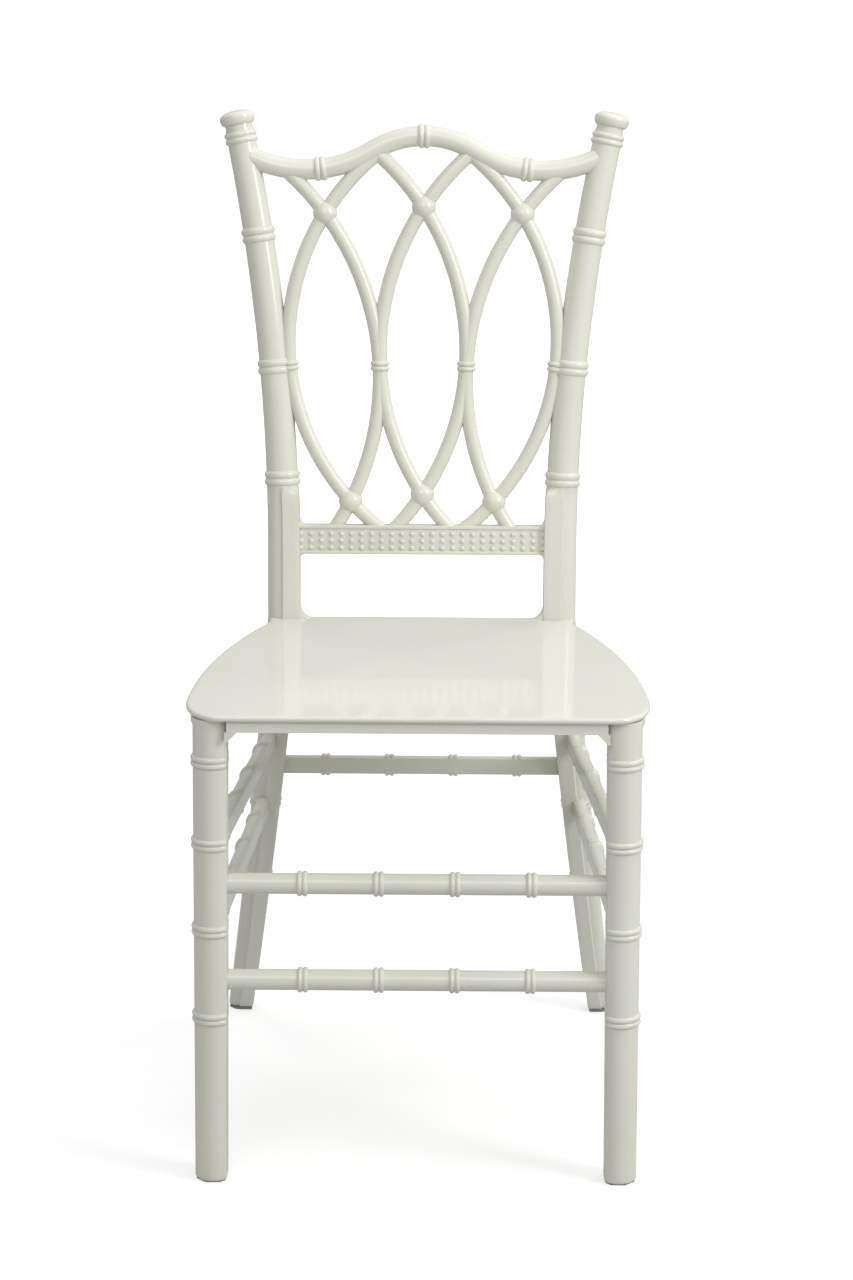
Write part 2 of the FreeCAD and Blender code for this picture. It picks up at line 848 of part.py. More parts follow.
def across_stretcher(height, end_point, face_point, neighbour, flat_side, pitch):
    """Stretcher from the left leg to the right one, its left socket and its solid."""
    start = end_point(height)
    end = Vector(-start.x, start.y, start.z)
    bar = stretcher(start, end, flat_side, pitch)
    bar = coped(bar, neighbour, Vector(-1, 0, 0))
    bar = coped(bar, mirrored(neighbour), Vector(1, 0, 0))
    pin, socket = pin_joint(face_point(height), Vector(-1, 0, 0), tenon_radius, tenon_length)
    return bar.fuse(pin).fuse(mirrored(pin)), socket


def side_stretcher(height, leg, post):
    """Left side stretcher, with its sockets in the front leg and in the back post."""
    start = front_leg_centre(height)
    end = post_centre(height)
    way = (end - start).normalize()
    bar = stretcher(start, end, Vector(1, 0, 0), side_ring_pitch)
    bar = coped(bar, leg, way * -1)
    bar = coped(bar, post, way)
    leg_point = start + way * front_leg_radius(height)
    post_point = end - way * (post_radius(height) + post_square_proud)
    leg_pin, leg_socket = pin_joint(leg_point, way * -1, tenon_radius, tenon_length)
    post_pin, post_socket = pin_joint(post_point, way, tenon_radius, tenon_length)
    return bar.fuse(leg_pin).fuse(post_pin), leg_socket, post_socket


def foot_glide(section, centre):
    """Glide under a foot, of the foot's own outline, with a stem up into it."""
    plate = Part.Face(closed_wire(section)).extrude(Vector(0, 0, glide_height))
    plate.translate(Vector(centre.x, centre.y, 0))
    base = Vector(centre.x, centre.y, glide_height)
    tip = base + Vector(0, 0, glide_stem_length)
    stem = cylinder(base - Vector(0, 0, glide_height), tip, glide_stem_radius)
    hole = cylinder(base, tip + Vector(0, 0, socket_end_gap), glide_stem_radius + joint_gap)
    return plate.fuse(stem), hole


def screw(head_point, way, length):
    """Pan-head screw: its head's underside sits at head_point, its shank runs along way."""
    way = Vector(way).normalize()
    head = cylinder(head_point - way * screw_head_height, head_point, screw_head_radius)
    shank = cylinder(head_point - way * 0.5, head_point + way * length, screw_radius)
    hole = cylinder(head_point - way, head_point + way * (length + socket_end_gap / 2),
                    screw_radius + joint_gap)
    head_room = cylinder(head_point - way * 2 * screw_head_height, head_point,
                         screw_head_radius + joint_gap)
    return head.fuse(shank), hole.fuse(head_room)


def block_screws(block, leg_point):
    """A block's screw up into the seat and its bolt into the leg, and their holes."""
    centre = block.CenterOfMass
    up_length = seat_under - block_bottom + screw_bite
    toward = Vector(leg_point.x - centre.x, leg_point.y - centre.y, 0).normalize()
    aside = toward.cross(Vector(0, 0, 1)) * 2 * screw_head_radius
    seat_point = Vector(centre.x, centre.y, block_bottom) + aside
    seat_screw = screw(seat_point, Vector(0, 0, 1), up_length)
    ray = Part.LineSegment(centre, centre - toward * block_reach).toShape()
    exit_point = max(ray.common(block).Vertexes, key=lambda v: v.Point.distanceToPoint(centre))
    leg_axis = Vector(leg_point.x, leg_point.y, centre.z)
    bolt_length = exit_point.Point.distanceToPoint(leg_axis) - bolt_tip_cover
    bolt = screw(exit_point.Point, toward, bolt_length)
    return seat_screw, bolt


def build_back(post):
    """Crest rail, lumbar rail, bent ribs and collars, with the sockets they need."""
    near_post = post.copy()
    near_post.translate(Vector(joint_gap, 0, 0))
    far_post = mirrored(near_post)
    crest = raw_crest()
    lumbar = raw_lumbar()
    for rib in (outer_rib, inner_rib, centre_rib):
        low, high = [leaned(pin) for pin in rib_pins(rib, joint_gap)]
        lumbar = lumbar.cut(low).cut(mirrored(low))
        crest = crest.cut(high).cut(mirrored(high))
    crest = largest(crest.cut(near_post).cut(far_post))
    joint_x = -path_end_x() + post_top_radius
    way = leaned(Part.Vertex(crest_point(joint_x) - crest_way(joint_x) * 50)).Point
    start = leaned(Part.Vertex(crest_point(joint_x))).Point
    pin, crest_socket = pin_joint(start, way - start, tenon_radius, crest_tenon_length)
    crest = crest.fuse(pin).fuse(mirrored(pin))
    lumbar = largest(lumbar.cut(near_post).cut(far_post))
    tenon = leaned(lumbar_end())
    lumbar_socket = leaned(lumbar_end(joint_gap))
    lumbar = lumbar.fuse(tenon).fuse(mirrored(tenon))

    outer, inner = crossing_pair(outer_rib, inner_rib)
    centre, centre_twin = crossing_pair(centre_rib, centre_rib_twin)
    outer = outer.fuse(waist_ring(outer_rib.point(upright(waist_collar_height)).x, 0))
    upright_post = near_post.copy()
    upright_post.rotate(Vector(0, y_at(post_run), back_pivot_height), Vector(1, 0, 0), back_lean)
    ribs = {
        "left_outer_rib": finished_rib(outer, outer_rib, upright_post),
        "left_inner_rib": finished_rib(inner, inner_rib, waist_side(1)),
        "centre_left_rib": finished_rib(centre, centre_rib, waist_side(-1)),
    }
    twin_cut = mirrored(waist_side(-1))
    centre_right = finished_rib(centre_twin, centre_rib_twin, twin_cut)
    ribs["right_outer_rib"] = mirrored(ribs["left_outer_rib"])
    ribs["right_inner_rib"] = mirrored(ribs["left_inner_rib"])
    ribs["centre_right_rib"] = centre_right
    collar = leaned(waist_ring(-waist_offset, rib_radius + 2 * joint_gap))
    return crest, lumbar, ribs, collar, crest_socket, lumbar_socket


def build():
    """Build every piece and write it."""
    post = raw_post()
    leg_top = seat_under - leg_top_gap
    leg = front_leg_block(0, glide_height - 2, leg_top, leg_ring_heights)
    leg = leg.cut(slab((-seat_width, 0), (-seat_depth, 0), (-glide_height, glide_height)))
    leg_sockets = []
    post_sockets = []
    pieces = {}

    for name, height in (("front_upper", front_upper_height), ("front_lower", front_lower_height)):
        bar, socket = across_stretcher(height, front_leg_centre, front_leg_face, leg,
                                       Vector(0, 1, 0), front_ring_pitch)
        pieces[name + "_stretcher"] = bar
        leg_sockets.append(socket)
    bar, socket = across_stretcher(rear_stretcher_height, post_centre, post_inner_face, post,
                                   Vector(0, -1, 0), rear_ring_pitch)
    pieces["rear_stretcher"] = bar
    post_sockets.append(socket)
    for name, height in (("upper", side_upper_height), ("lower", side_lower_height)):
        bar, leg_socket, post_socket = side_stretcher(height, leg, post)
        pieces["left_" + name + "_stretcher"] = bar
        pieces["right_" + name + "_stretcher"] = mirrored(bar)
        leg_sockets.append(leg_socket)
        post_sockets.append(post_socket)

    crest, lumbar, ribs, collar, crest_socket, lumbar_socket = build_back(post)
    post_sockets += [crest_socket, lumbar_socket]
    pieces["crest_rail"] = crest
    pieces["lumbar_rail"] = lumbar
    pieces.update(ribs)
    pieces["left_waist_collar"] = collar
    pieces["right_waist_collar"] = mirrored(collar)

    cap = finial()
    cap_hole = cylinder(Vector(0, 0, -finial_tenon_length - socket_end_gap), Vector(0, 0, 1),
                        finial_tenon_radius + joint_gap)
    post_sockets.append(placed(cap_hole, post_frame(post_top_height)))
    pieces["left_finial"] = cap
    pieces["right_finial"] = mirrored(cap)

    fat_post = post_block(joint_gap, rail_bottom - 40, seat_height + 40)
    fat_leg = front_leg_block(joint_gap, rail_bottom - 40, seat_under + 2)
    rails, rail_leg_sockets, rail_post_sockets = build_rails(fat_leg, fat_post)
    side_rail = rails["left_seat_rail"]
    leg_sockets += rail_leg_sockets
    post_sockets += rail_post_sockets

    seat = seat_shell(fat_post)
    seat_screws = []
    corner_bolts = []
    corner_x = -seat_width / 2
    blocks = (
        ("front", corner_block(corner_x, 0, 1, [fat_leg]), front_leg_centre(rail_bottom)),
        ("rear", corner_block(-seat_rear_width / 2, seat_depth, -1, [fat_post]),
         post_centre(rail_bottom)),
    )
    for name, block, leg_point in blocks:
        (up_screw, up_hole), (bolt, bolt_hole) = block_screws(block, leg_point)
        block = block.cut(up_hole).cut(bolt_hole)
        side_rail = side_rail.cut(bolt_hole)
        seat = seat.cut(up_hole).cut(mirrored(up_hole))
        (leg_sockets if name == "front" else post_sockets).append(bolt_hole)
        pieces["left_" + name + "_corner_block"] = block
        pieces["right_" + name + "_corner_block"] = mirrored(block)
        seat_screws += [up_screw, mirrored(up_screw)]
        corner_bolts += [bolt, mirrored(bolt)]
    rails["left_seat_rail"] = largest(side_rail)
    rails["right_seat_rail"] = mirrored(largest(side_rail))
    pieces.update(rails)
    pieces["seat_shell"] = seat
    pieces["seat_screws"] = Part.makeCompound(seat_screws)
    pieces["corner_bolts"] = Part.makeCompound(corner_bolts)

    radius = front_leg_foot_radius - glide_inset
    flat = front_leg_foot_radius * front_leg_flat - glide_inset
    glide, hole = foot_glide(d_section(radius, flat), front_leg_centre(0))
    leg_sockets.append(hole)
    pieces["left_front_glide"] = glide
    pieces["right_front_glide"] = mirrored(glide)
    glide, hole = foot_glide(square_section(post_foot_radius - glide_inset), post_centre(glide_height))
    post_sockets.append(hole)
    pieces["left_rear_glide"] = glide
    pieces["right_rear_glide"] = mirrored(glide)

    for name, raw, sockets in (("front_leg", leg, leg_sockets), ("back_post", post, post_sockets)):
        body = raw
        for socket in sockets:
            body = body.cut(socket)
        pieces["left_" + name] = largest(body)
        pieces["right_" + name] = mirrored(largest(body))

    for name, shape in pieces.items():
        save(name, shape)
    return pieces


def build_rails(fat_leg, fat_post):
    """Front apron, rear rail and side rails, with the sockets of their pins."""
    band = frame_band()
    level = rail_bottom + rail_height / 2
    heights = (rail_bottom - 1, seat_under + 1)
    leg_face = front_leg_face(level)
    post_face = post_inner_face(level)
    front_box = slab((leg_face.x + joint_gap, -leg_face.x - joint_gap),
                     (y_at(-5), y_at(rail_thickness * 2)), heights)
    apron = band.common(front_box)
    gusset = apron_gusset(leg_face.x + joint_gap)
    apron = apron.fuse(gusset).fuse(mirrored(gusset)).cut(fat_leg).cut(mirrored(fat_leg))
    apron_point = Vector(leg_face.x + joint_gap, y_at(front_leg_run - 4), level)
    apron_pin, apron_socket = pin_joint(apron_point, Vector(-1, 0, 0), rail_pin_radius, rail_pin_length)
    apron = apron.fuse(apron_pin).fuse(mirrored(apron_pin))

    rear_box = slab((post_face.x + joint_gap, -post_face.x - joint_gap),
                    (y_at(seat_mid_run), y_at(seat_depth + 5)), heights)
    rear = band.common(rear_box).cut(fat_post).cut(mirrored(fat_post))
    rear_point = Vector(post_face.x + joint_gap, y_at(post_run - post_seat_radius * 0.6), level)
    rear_pin, rear_socket = pin_joint(rear_point, Vector(-1, 0, 0), rail_pin_radius, rail_pin_length)
    rear = rear.fuse(rear_pin).fuse(mirrored(rear_pin))

    side_box = slab((-seat_width, post_face.x), (y_at(front_leg_run), y_at(seat_depth + 5)), heights)
    side = largest(band.common(side_box).cut(fat_leg).cut(fat_post))
    leg_point = front_leg_centre(level) + Vector(-3, front_leg_radius(level), 0)
    leg_pin, leg_socket = pin_joint(leg_point, Vector(0, -1, 0), rail_pin_radius, rail_pin_length)
    post_point = post_centre(level) - Vector(0, post_radius(level) + post_square_proud, 0)
    post_pin, post_socket = pin_joint(post_point, Vector(0, 1, 0), rail_pin_radius, rail_pin_length)
    side = side.fuse(leg_pin).fuse(post_pin)
    rails = {"front_apron": apron, "rear_seat_rail": rear,
             "left_seat_rail": side}
    return rails, [apron_socket, leg_socket], [rear_socket, post_socket]


build()
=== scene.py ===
import math

import bmesh
import bpy
from mathutils import Matrix, Vector


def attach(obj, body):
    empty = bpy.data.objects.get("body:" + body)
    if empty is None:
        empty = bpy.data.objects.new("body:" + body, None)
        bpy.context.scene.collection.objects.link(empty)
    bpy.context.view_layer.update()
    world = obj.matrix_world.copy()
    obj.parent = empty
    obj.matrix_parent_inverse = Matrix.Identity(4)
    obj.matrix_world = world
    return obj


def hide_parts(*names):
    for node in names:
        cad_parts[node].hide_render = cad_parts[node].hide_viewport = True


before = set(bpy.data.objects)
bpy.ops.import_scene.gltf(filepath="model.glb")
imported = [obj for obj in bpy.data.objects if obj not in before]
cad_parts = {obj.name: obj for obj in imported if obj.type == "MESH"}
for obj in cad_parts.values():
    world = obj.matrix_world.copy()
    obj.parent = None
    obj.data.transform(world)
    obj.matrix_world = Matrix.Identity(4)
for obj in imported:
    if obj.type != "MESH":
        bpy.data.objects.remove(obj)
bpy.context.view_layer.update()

# Looks of a glossy off-white resin chair of the bamboo pattern.
# Sizes are the real chair's, in millimetres, as in the part's source; MM turns them to metres.
# X is the viewer's right, the seat's front edge faces -Y. A "run" is a distance behind that edge.

MM = 0.001

seat_height = 437.0
seat_width = 409.0
seat_depth = 386.0
seat_edge = 5.5
seat_front_flat = 344.0
seat_widest_run = 58.0
seat_mid_width = 384.0
seat_mid_run = 205.0
seat_rear_width = 301.0
seat_rear_run = 360.0
seat_rear_corner = 6.0
seat_under = seat_height - seat_edge
seat_rib_depth = 7.0
seat_rib_wall = 2.5
seat_rib_columns = 5
seat_rib_rows = 5
ear_width = 12.0
ear_height = 16.0
ear_front_run = 372.5
ear_back_run = 384.0
rail_thickness = 20.0
block_reach = 96.0
seat_rib_bedding = 1.0
seat_rib_ease = 0.5
seat_edge_inset = 0.02
seat_rim_share = 0.02

front_leg_run = 24.0
front_leg_top_spacing = 357.6
front_leg_foot_spacing = 366.0
front_leg_top_radius = 17.4
front_leg_foot_radius = 16.4
front_leg_flat = 0.77

post_run = 388.0
post_spacing = 273.6
post_seat_radius = 15.9
post_top_radius = 13.8
post_foot_radius = 12.4
post_top_height = 910.5
post_bend_start = 500.0
post_bend_radius = 1990.0
post_square_top = 574.0
post_square_proud = 0.8
post_step = 1.4
post_square_blend = 7.0
post_square_ease = 2.5
post_square_drop = 0.2
foot_splay_out = 52.5
foot_splay_back = 66.5
foot_bow = 0.18
back_lean = math.radians(5.0)
back_pivot_height = 450.0
glide_height = 3.0
foot_gap = 0.4
foot_ease = 2.4
foot_ease_height = 2.6
foot_sections = (0.3, 0.8, 1.6, foot_ease_height)
post_foot_ease = 1.6
post_foot_ease_height = 1.8
post_foot_sections = (0.4, 1.0, post_foot_ease_height)
post_foot_turn = 60.0
seat_gap = 0.4
overall_depth = post_run + foot_splay_back + post_foot_radius

finial_cap_radius = 17.0
finial_cap_height = 14.0
finial_neck_radius = 13.0
finial_neck_height = 4.5
finial_neck_rise = 0.6
finial_sink = 3.0
finial_dome = 2.4

back_plane_offset = 3.4
crest_radius = 9.75
crest_peak_height = 905.0
crest_dip_height = 872.6
crest_dip_offset = 115.0
crest_hump_radius = 95.0
crest_ring_offset = 100.5
crest_end_inset = 3.0
crest_ring_slant = 1.05

lumbar_height = 28.8
lumbar_centre_height = 514.0
lumbar_thickness = 17.0
lumbar_border = 3.6
lumbar_border_proud = 1.2
lumbar_fillet = 5.0
lumbar_end_inset = 4.0
lumbar_ease = 0.8
lumbar_border_ease = 0.7
lumbar_border_sink = 2.0
lumbar_fillet_inset = 0.3
bead_columns = 25
bead_rows = 3
bead_pitch = 9.95
bead_row_pitch = 6.9
bead_row_drop = 1.0
bead_radius = 2.45
bead_height = 1.8

rib_radius = 7.0
outer_rib_bend = 233.0
outer_rib_reach = 131.5
outer_rib_height = 708.0
inner_rib_bend = 268.0
inner_rib_height = 671.0
centre_rib_bend = 253.0
centre_rib_height = 698.0
waist_offset = 42.3
waist_collar_height = 684.0
boss_radius = 11.6
rib_foot_sink = 4.0
rib_search_drop = 40.0
collar_gap = 0.2
web_ease = 1.8
web_sink = 2.0

stretcher_radius = 9.3
stretcher_flat = 5.2
stretcher_ring_count = 4
flat_ease = 0.9
front_stretcher_heights = {"upper": 278.4, "lower": 188.5}
side_stretcher_heights = {"upper": 308.3, "lower": 235.0}
rear_stretcher_height = 277.0
front_ring_pitch = 67.5
rear_ring_pitch = 64.5
side_ring_pitch = 84.0

leg_ring_heights = (155.0, 237.0, 317.0, 392.0)
post_ring_heights = (574.0, 683.0, 810.0)
leg_ring_band = 10.5
post_ring_band = 14.0
stretcher_ring_band = 9.5
crest_ring_band = 11.0
rib_ring_band = 10.0
ring_proud = 2.0
ring_groove = 0.35

# Mesh fineness: corners round a bar, spacing of sections along it and within a ring
around = 56
along_step = 6.0
ring_step = 0.45
ring_reach = 1.1
ring_clear = 0.56
post_ring_clear = 0.6
crease = math.radians(38)


# Shape of the chair, as in the part's source

def y_at(run):
    """Y of a run behind the seat's front edge."""
    return run - overall_depth / 2


def leg_share(height):
    """Share of the foot's splay that the rear leg has reached at this height."""
    drop = (seat_height - height) / seat_height
    return (1 - foot_bow) * drop + foot_bow * drop ** 2


def post_centre(height):
    """Centre of the left back post."""
    if height <= seat_height:
        share = leg_share(height)
        x = -post_spacing / 2 - foot_splay_out * share
        return Vector((x, y_at(post_run) + foot_splay_back * share, height))
    bend = max(0.0, height - post_bend_start)
    rise = max(0.0, height - back_pivot_height)
    x = -post_spacing / 2 - bend ** 2 / (2 * post_bend_radius)
    return Vector((x, y_at(post_run) + rise * math.tan(back_lean), height))


def post_radius(height):
    """Radius of the back post, which tapers both ways from the seat."""
    if height <= seat_height:
        share = (seat_height - height) / seat_height
        return post_seat_radius + (post_foot_radius - post_seat_radius) * share
    share = max(0.0, height - post_bend_start) / (post_top_height - post_bend_start)
    return post_seat_radius + (post_top_radius - post_seat_radius) * share


def front_leg_centre(height):
    """Centre of the left front leg."""
    share = height / seat_under
    spacing = front_leg_foot_spacing + (front_leg_top_spacing - front_leg_foot_spacing) * share
    return Vector((-spacing / 2, y_at(front_leg_run), height))


def front_leg_radius(height):
    """Radius of the front leg, which tapers to the foot."""
    share = height / seat_under
    return front_leg_foot_radius + (front_leg_top_radius - front_leg_foot_radius) * share


def upright(height):
    """Height in the upright back frame for a real height on the leaning back."""
    return back_pivot_height + (height - back_pivot_height) / math.cos(back_lean)


def leaned(point):
    """Tip a point of the upright back frame back with the chair's back."""
    pivot = Vector((0, y_at(post_run), back_pivot_height))
    return pivot + Matrix.Rotation(-back_lean, 3, "X") @ (point - pivot)


back_plane = y_at(post_run) - back_plane_offset


def crest_bends():
    """Bend radii of the crest rail's hump and dips, and the angle at which they join."""
    drop = upright(crest_peak_height) - upright(crest_dip_height)
    both = (crest_dip_offset ** 2 + drop ** 2) / (2 * drop)
    return crest_hump_radius, both - crest_hump_radius, math.asin(crest_dip_offset / both)


def crest_point(x):
    """Centre line of the crest rail at this x, in the upright back frame."""
    hump, dip, turn = crest_bends()
    if abs(x) < hump * math.sin(turn):
        z = upright(crest_peak_height) - hump + math.sqrt(hump ** 2 - x ** 2)
    else:
        along = abs(x) - crest_dip_offset
        z = upright(crest_dip_height) + dip - math.sqrt(dip ** 2 - along ** 2)
    return Vector((x, back_plane, z))


def rib_line(reach, height, bend, side):
    """Centre line of a bent rib, as a function of its level in the upright back frame."""
    centre_x = reach - side * bend
    centre_z = upright(height)

    def point(level):
        x = centre_x + side * math.sqrt(bend ** 2 - (level - centre_z) ** 2)
        return Vector((x, back_plane, level))

    return point


# Mesh helpers

def smoothstep(value):
    """Ease from 0 to 1."""
    value = min(1.0, max(0.0, value))
    return value * value * (3 - 2 * value)


def ridge(distance, band):
    """Height of a pair of half-round ridges over the bar, at a distance from their middle."""
    quarter = band / 4
    offset = (abs(distance) - quarter) / quarter
    swell = ring_proud * max(0.0, 1 - offset ** 2) ** 0.6
    return max(swell, ring_groove if abs(distance) < quarter else 0.0)


def round_shape(radius, angle):
    """Radius of a plain round bar."""
    return radius


def soft_min(a, b, softness):
    """The smaller of two sizes, with the corner between them rounded."""
    gap = max(softness - abs(a - b), 0.0) / softness
    return min(a, b) - gap * gap * softness / 4


def d_shape(flat):
    """Shape of a bar with one flat side at this distance, facing its first axis."""
    def shape(radius, angle):
        facing = math.cos(angle)
        if facing < 0.05:
            return radius
        return soft_min(radius, flat / facing, flat_ease)
    return shape


def square_shape(face, share):
    """Shape of the post's lower part: a square corner at the front, inside.

    The round quarter beside it lies back from the flat front, which leaves a crisp step.
    share runs from 0 for a round bar to 1 for the full corner.
    """
    def shape(radius, angle):
        facing, side = math.cos(angle), -math.sin(angle)
        if facing < -0.001 and side > 0.001:
            return radius - post_step * share * side ** 2
        if facing < -0.001 or side < -0.001:
            return radius
        square = soft_min(face / max(facing, 0.02), face / max(side, 0.02), post_square_ease)
        return radius + (square - radius) * share
    return shape


def stations(length, ring_places, band):
    """Distances along a bar at which it gets a section: close together in its rings."""
    places = {0.0, length}
    count = max(1, round(length / along_step))
    places.update(length * i / count for i in range(count + 1))
    for ring in ring_places:
        reach = band * ring_reach
        steps = round(reach / ring_step)
        places = {p for p in places if abs(p - ring) > band * ring_clear}
        places.update(ring + reach * (i / steps - 0.5) for i in range(steps + 1))
    return sorted(p for p in places if 0 <= p <= length)


def new_object(bm, node, material):
    """Put a finished mesh in the scene as the piece that stands for a node."""
    mesh = finish_mesh(bm, node)
    mesh.materials.append(material)
    piece = bpy.data.objects.new(node + "_shape", mesh)
    bpy.context.scene.collection.objects.link(piece)
    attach(piece, "root")
    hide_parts(node)


def finish_mesh(bm, name):
    """Turn a bmesh in millimetres into a smooth mesh in metres with its creases kept."""
    bmesh.ops.remove_doubles(bm, verts=bm.verts, dist=0.001)
    bmesh.ops.recalc_face_normals(bm, faces=bm.faces)
    bmesh.ops.scale(bm, vec=Vector((MM, MM, MM)), verts=bm.verts)
    mesh = bpy.data.meshes.new(name)
    bm.to_mesh(mesh)
    bm.free()
    mesh.shade_smooth()
    mesh.set_sharp_from_angle(angle=crease)
    return mesh


def add_skin(bm, rings):
    """Join rings of points with faces, and close both ends."""
    rows = [[bm.verts.new(point) for point in ring] for ring in rings]
    for low, high in zip(rows, rows[1:]):
        for i in range(len(low)):
            bm.faces.new((low[i - 1], low[i], high[i], high[i - 1]))
    bm.faces.new(list(reversed(rows[0])))
    bm.faces.new(rows[-1])


def add_sweep(bm, frames):
    """Skin over sections, each given by its origin, its two axes, its radius and its shape."""
    rings = []
    for origin, side, up, radius, shape in frames:
        ring = []
        for i in range(around):
            angle = 2 * math.pi * i / around
            reach = shape(radius, angle)
            ring.append(origin + side * reach * math.cos(angle) + up * reach * math.sin(angle))
        rings.append(ring)
    add_skin(bm, rings)


def axes(direction, sideways):
    """Two axes across a direction, the first as near to sideways as it can be."""
    direction = direction.normalized()
    side = (sideways - direction * sideways.dot(direction)).normalized()
    return side, direction.cross(side)


def mirrored(point):
    """The point's twin on the right."""
    return Vector((-point.x, point.y, point.z))


def flipped(bm):
    """Turn left-hand geometry into its right-hand twin."""
    for vert in bm.verts:
        vert.co.x = -vert.co.x
    bmesh.ops.reverse_faces(bm, faces=bm.faces)


def single(build, node, material, *settings):
    """Make one piece with its builder."""
    bm = bmesh.new()
    build(bm, *settings)
    new_object(bm, node, material)


def pair(build, name, material, *settings):
    """Make the left piece and its right-hand twin with the same builder."""
    for side in ("left", "right"):
        bm = bmesh.new()
        build(bm, *settings)
        if side == "right":
            flipped(bm)
        new_object(bm, side + "_" + name, material)


# Materials

resin_colour = (0.735, 0.735, 0.65)
glide_colour = (0.24, 0.24, 0.23)
steel_colour = (0.42, 0.42, 0.43)
resin_ior = 1.49
paler_share = 0.955
# Painted shade: colour shares and reach of the darkening in corners and creases
crease_shade_shares = (0.72, 0.68, 0.6)
crease_shade_reach = 0.006
cloud_scale = 7.0
haze_scale = 38.0
peel_strength = 0.035
peel_depth = 0.0006


def resin(name, colour, grain_scale=260.0, roughness=0.17):
    """Moulded resin: gloss with faint haze, a slight orange peel and worn, duller patches.

    Corners and creases get painted shade: ambient occlusion darkens their colour. The smaller the
    roughness, the sharper the reflections.
    """
    material = bpy.data.materials.new(name)
    material.use_nodes = True
    nodes = material.node_tree.nodes
    links = material.node_tree.links
    shader = nodes["Principled BSDF"]
    shader.inputs["IOR"].default_value = resin_ior
    shader.inputs["Specular IOR Level"].default_value = 0.5
    place = nodes.new("ShaderNodeTexCoord")

    def texture(scale, detail, rough):
        node = nodes.new("ShaderNodeTexNoise")
        node.inputs["Scale"].default_value = scale
        node.inputs["Detail"].default_value = detail
        node.inputs["Roughness"].default_value = rough
        links.new(place.outputs["Object"], node.inputs["Vector"])
        return node

    def spread(source, from_low, from_high, low, high):
        node = nodes.new("ShaderNodeMapRange")
        node.inputs["From Min"].default_value = from_low
        node.inputs["From Max"].default_value = from_high
        node.inputs["To Min"].default_value = low
        node.inputs["To Max"].default_value = high
        links.new(source, node.inputs["Value"])
        return node.outputs["Result"]

    cloud = texture(cloud_scale, 3.0, 0.55)
    tint = nodes.new("ShaderNodeMix")
    tint.data_type = "RGBA"
    tint.inputs["A"].default_value = (*colour, 1)
    tint.inputs["B"].default_value = (*[c * paler_share for c in colour], 1)
    links.new(spread(cloud.outputs["Fac"], 0.35, 0.7, 0, 1), tint.inputs["Factor"])
    # Painted shade: ambient occlusion darkens the colour in corners and creases, where shade falls
    crevice = nodes.new("ShaderNodeAmbientOcclusion")
    crevice.samples = 8
    crevice.inputs["Distance"].default_value = crease_shade_reach
    painted_crease_shade = nodes.new("ShaderNodeMix")
    painted_crease_shade.data_type = "RGBA"
    painted_crease_shade.inputs["B"].default_value = (*[c * f for c, f in zip(colour, crease_shade_shares)], 1)
    links.new(spread(crevice.outputs["AO"], 0.15, 0.7, 0.3, 0), painted_crease_shade.inputs["Factor"])
    links.new(tint.outputs["Result"], painted_crease_shade.inputs["A"])
    links.new(painted_crease_shade.outputs["Result"], shader.inputs["Base Color"])

    haze = texture(haze_scale, 4.0, 0.6)
    links.new(spread(haze.outputs["Fac"], 0.3, 0.75, roughness * 0.8, roughness * 1.45),
              shader.inputs["Roughness"])
    peel = texture(grain_scale, 2.0, 0.5)
    bump = nodes.new("ShaderNodeBump")
    bump.inputs["Strength"].default_value = peel_strength
    bump.inputs["Distance"].default_value = peel_depth
    links.new(peel.outputs["Fac"], bump.inputs["Height"])
    links.new(bump.outputs["Normal"], shader.inputs["Normal"])
    return material


def zinc(name):
    """Zinc-plated steel of the screws, with a fine grain and dull spots."""
    material = resin(name, steel_colour, 900.0, 0.32)
    material.node_tree.nodes["Principled BSDF"].inputs["Metallic"].default_value = 1.0
    return material


ivory = resin("ivory_resin_gloss", resin_colour)
seat_ivory = resin("ivory_resin_seat", resin_colour, 320.0, 0.045)
glide_grey = resin("glide_matt", glide_colour, 700.0, 0.5)
steel = zinc("zinc_steel_screws")


# Legs and posts

def post_section(height):
    """Frame across the left post: level at the foot, square to its line higher up."""
    step = 6.0
    line = (post_centre(height + step) - post_centre(height - step)).normalized()
    level = smoothstep((height - glide_height) / post_foot_turn)
    direction = Vector((0, 0, 1)).lerp(line, level)
    return axes(direction, Vector((1, 0, 0)))


def build_post(bm):
    """Left back post: squared below its lowest back ring, round above it."""
    rings = [(height, leg_ring_band) for height in leg_ring_heights]
    rings += [(height, post_ring_band) for height in post_ring_heights]
    rings.append((post_top_height - crest_ring_band / 2 - ring_proud, crest_ring_band))
    length = post_top_height - glide_height
    places = set()
    for height, band in rings:
        places.update(p for p in stations(length, [height - glide_height], band)
                      if abs(p + glide_height - height) < band * ring_clear)
    for p in stations(length, [], 0):
        if all(abs(p + glide_height - height) > band * post_ring_clear for height, band in rings):
            places.add(p)
    square_end = post_square_top - post_ring_band / 2
    places.update(post_foot_sections)
    places.update((square_end - glide_height - post_square_drop, square_end - glide_height))
    frames = []
    for place in sorted(places):
        height = place + glide_height
        radius = post_radius(height)
        squared = height < square_end
        face = radius + post_square_proud
        rise = 0.0
        for ring, band in rings:
            if abs(height - ring) < band / 2:
                rise = ridge(height - ring, band)
        ease = post_foot_ease * (1 - min(1.0, place / post_foot_ease_height)) ** 2
        share = smoothstep((square_end - height) / post_square_blend)
        shape = square_shape(face - ease, share) if squared else round_shape
        side, up = post_section(height)
        frames.append((post_centre(height), side, up, radius + rise - ease, shape))
    add_sweep(bm, frames)


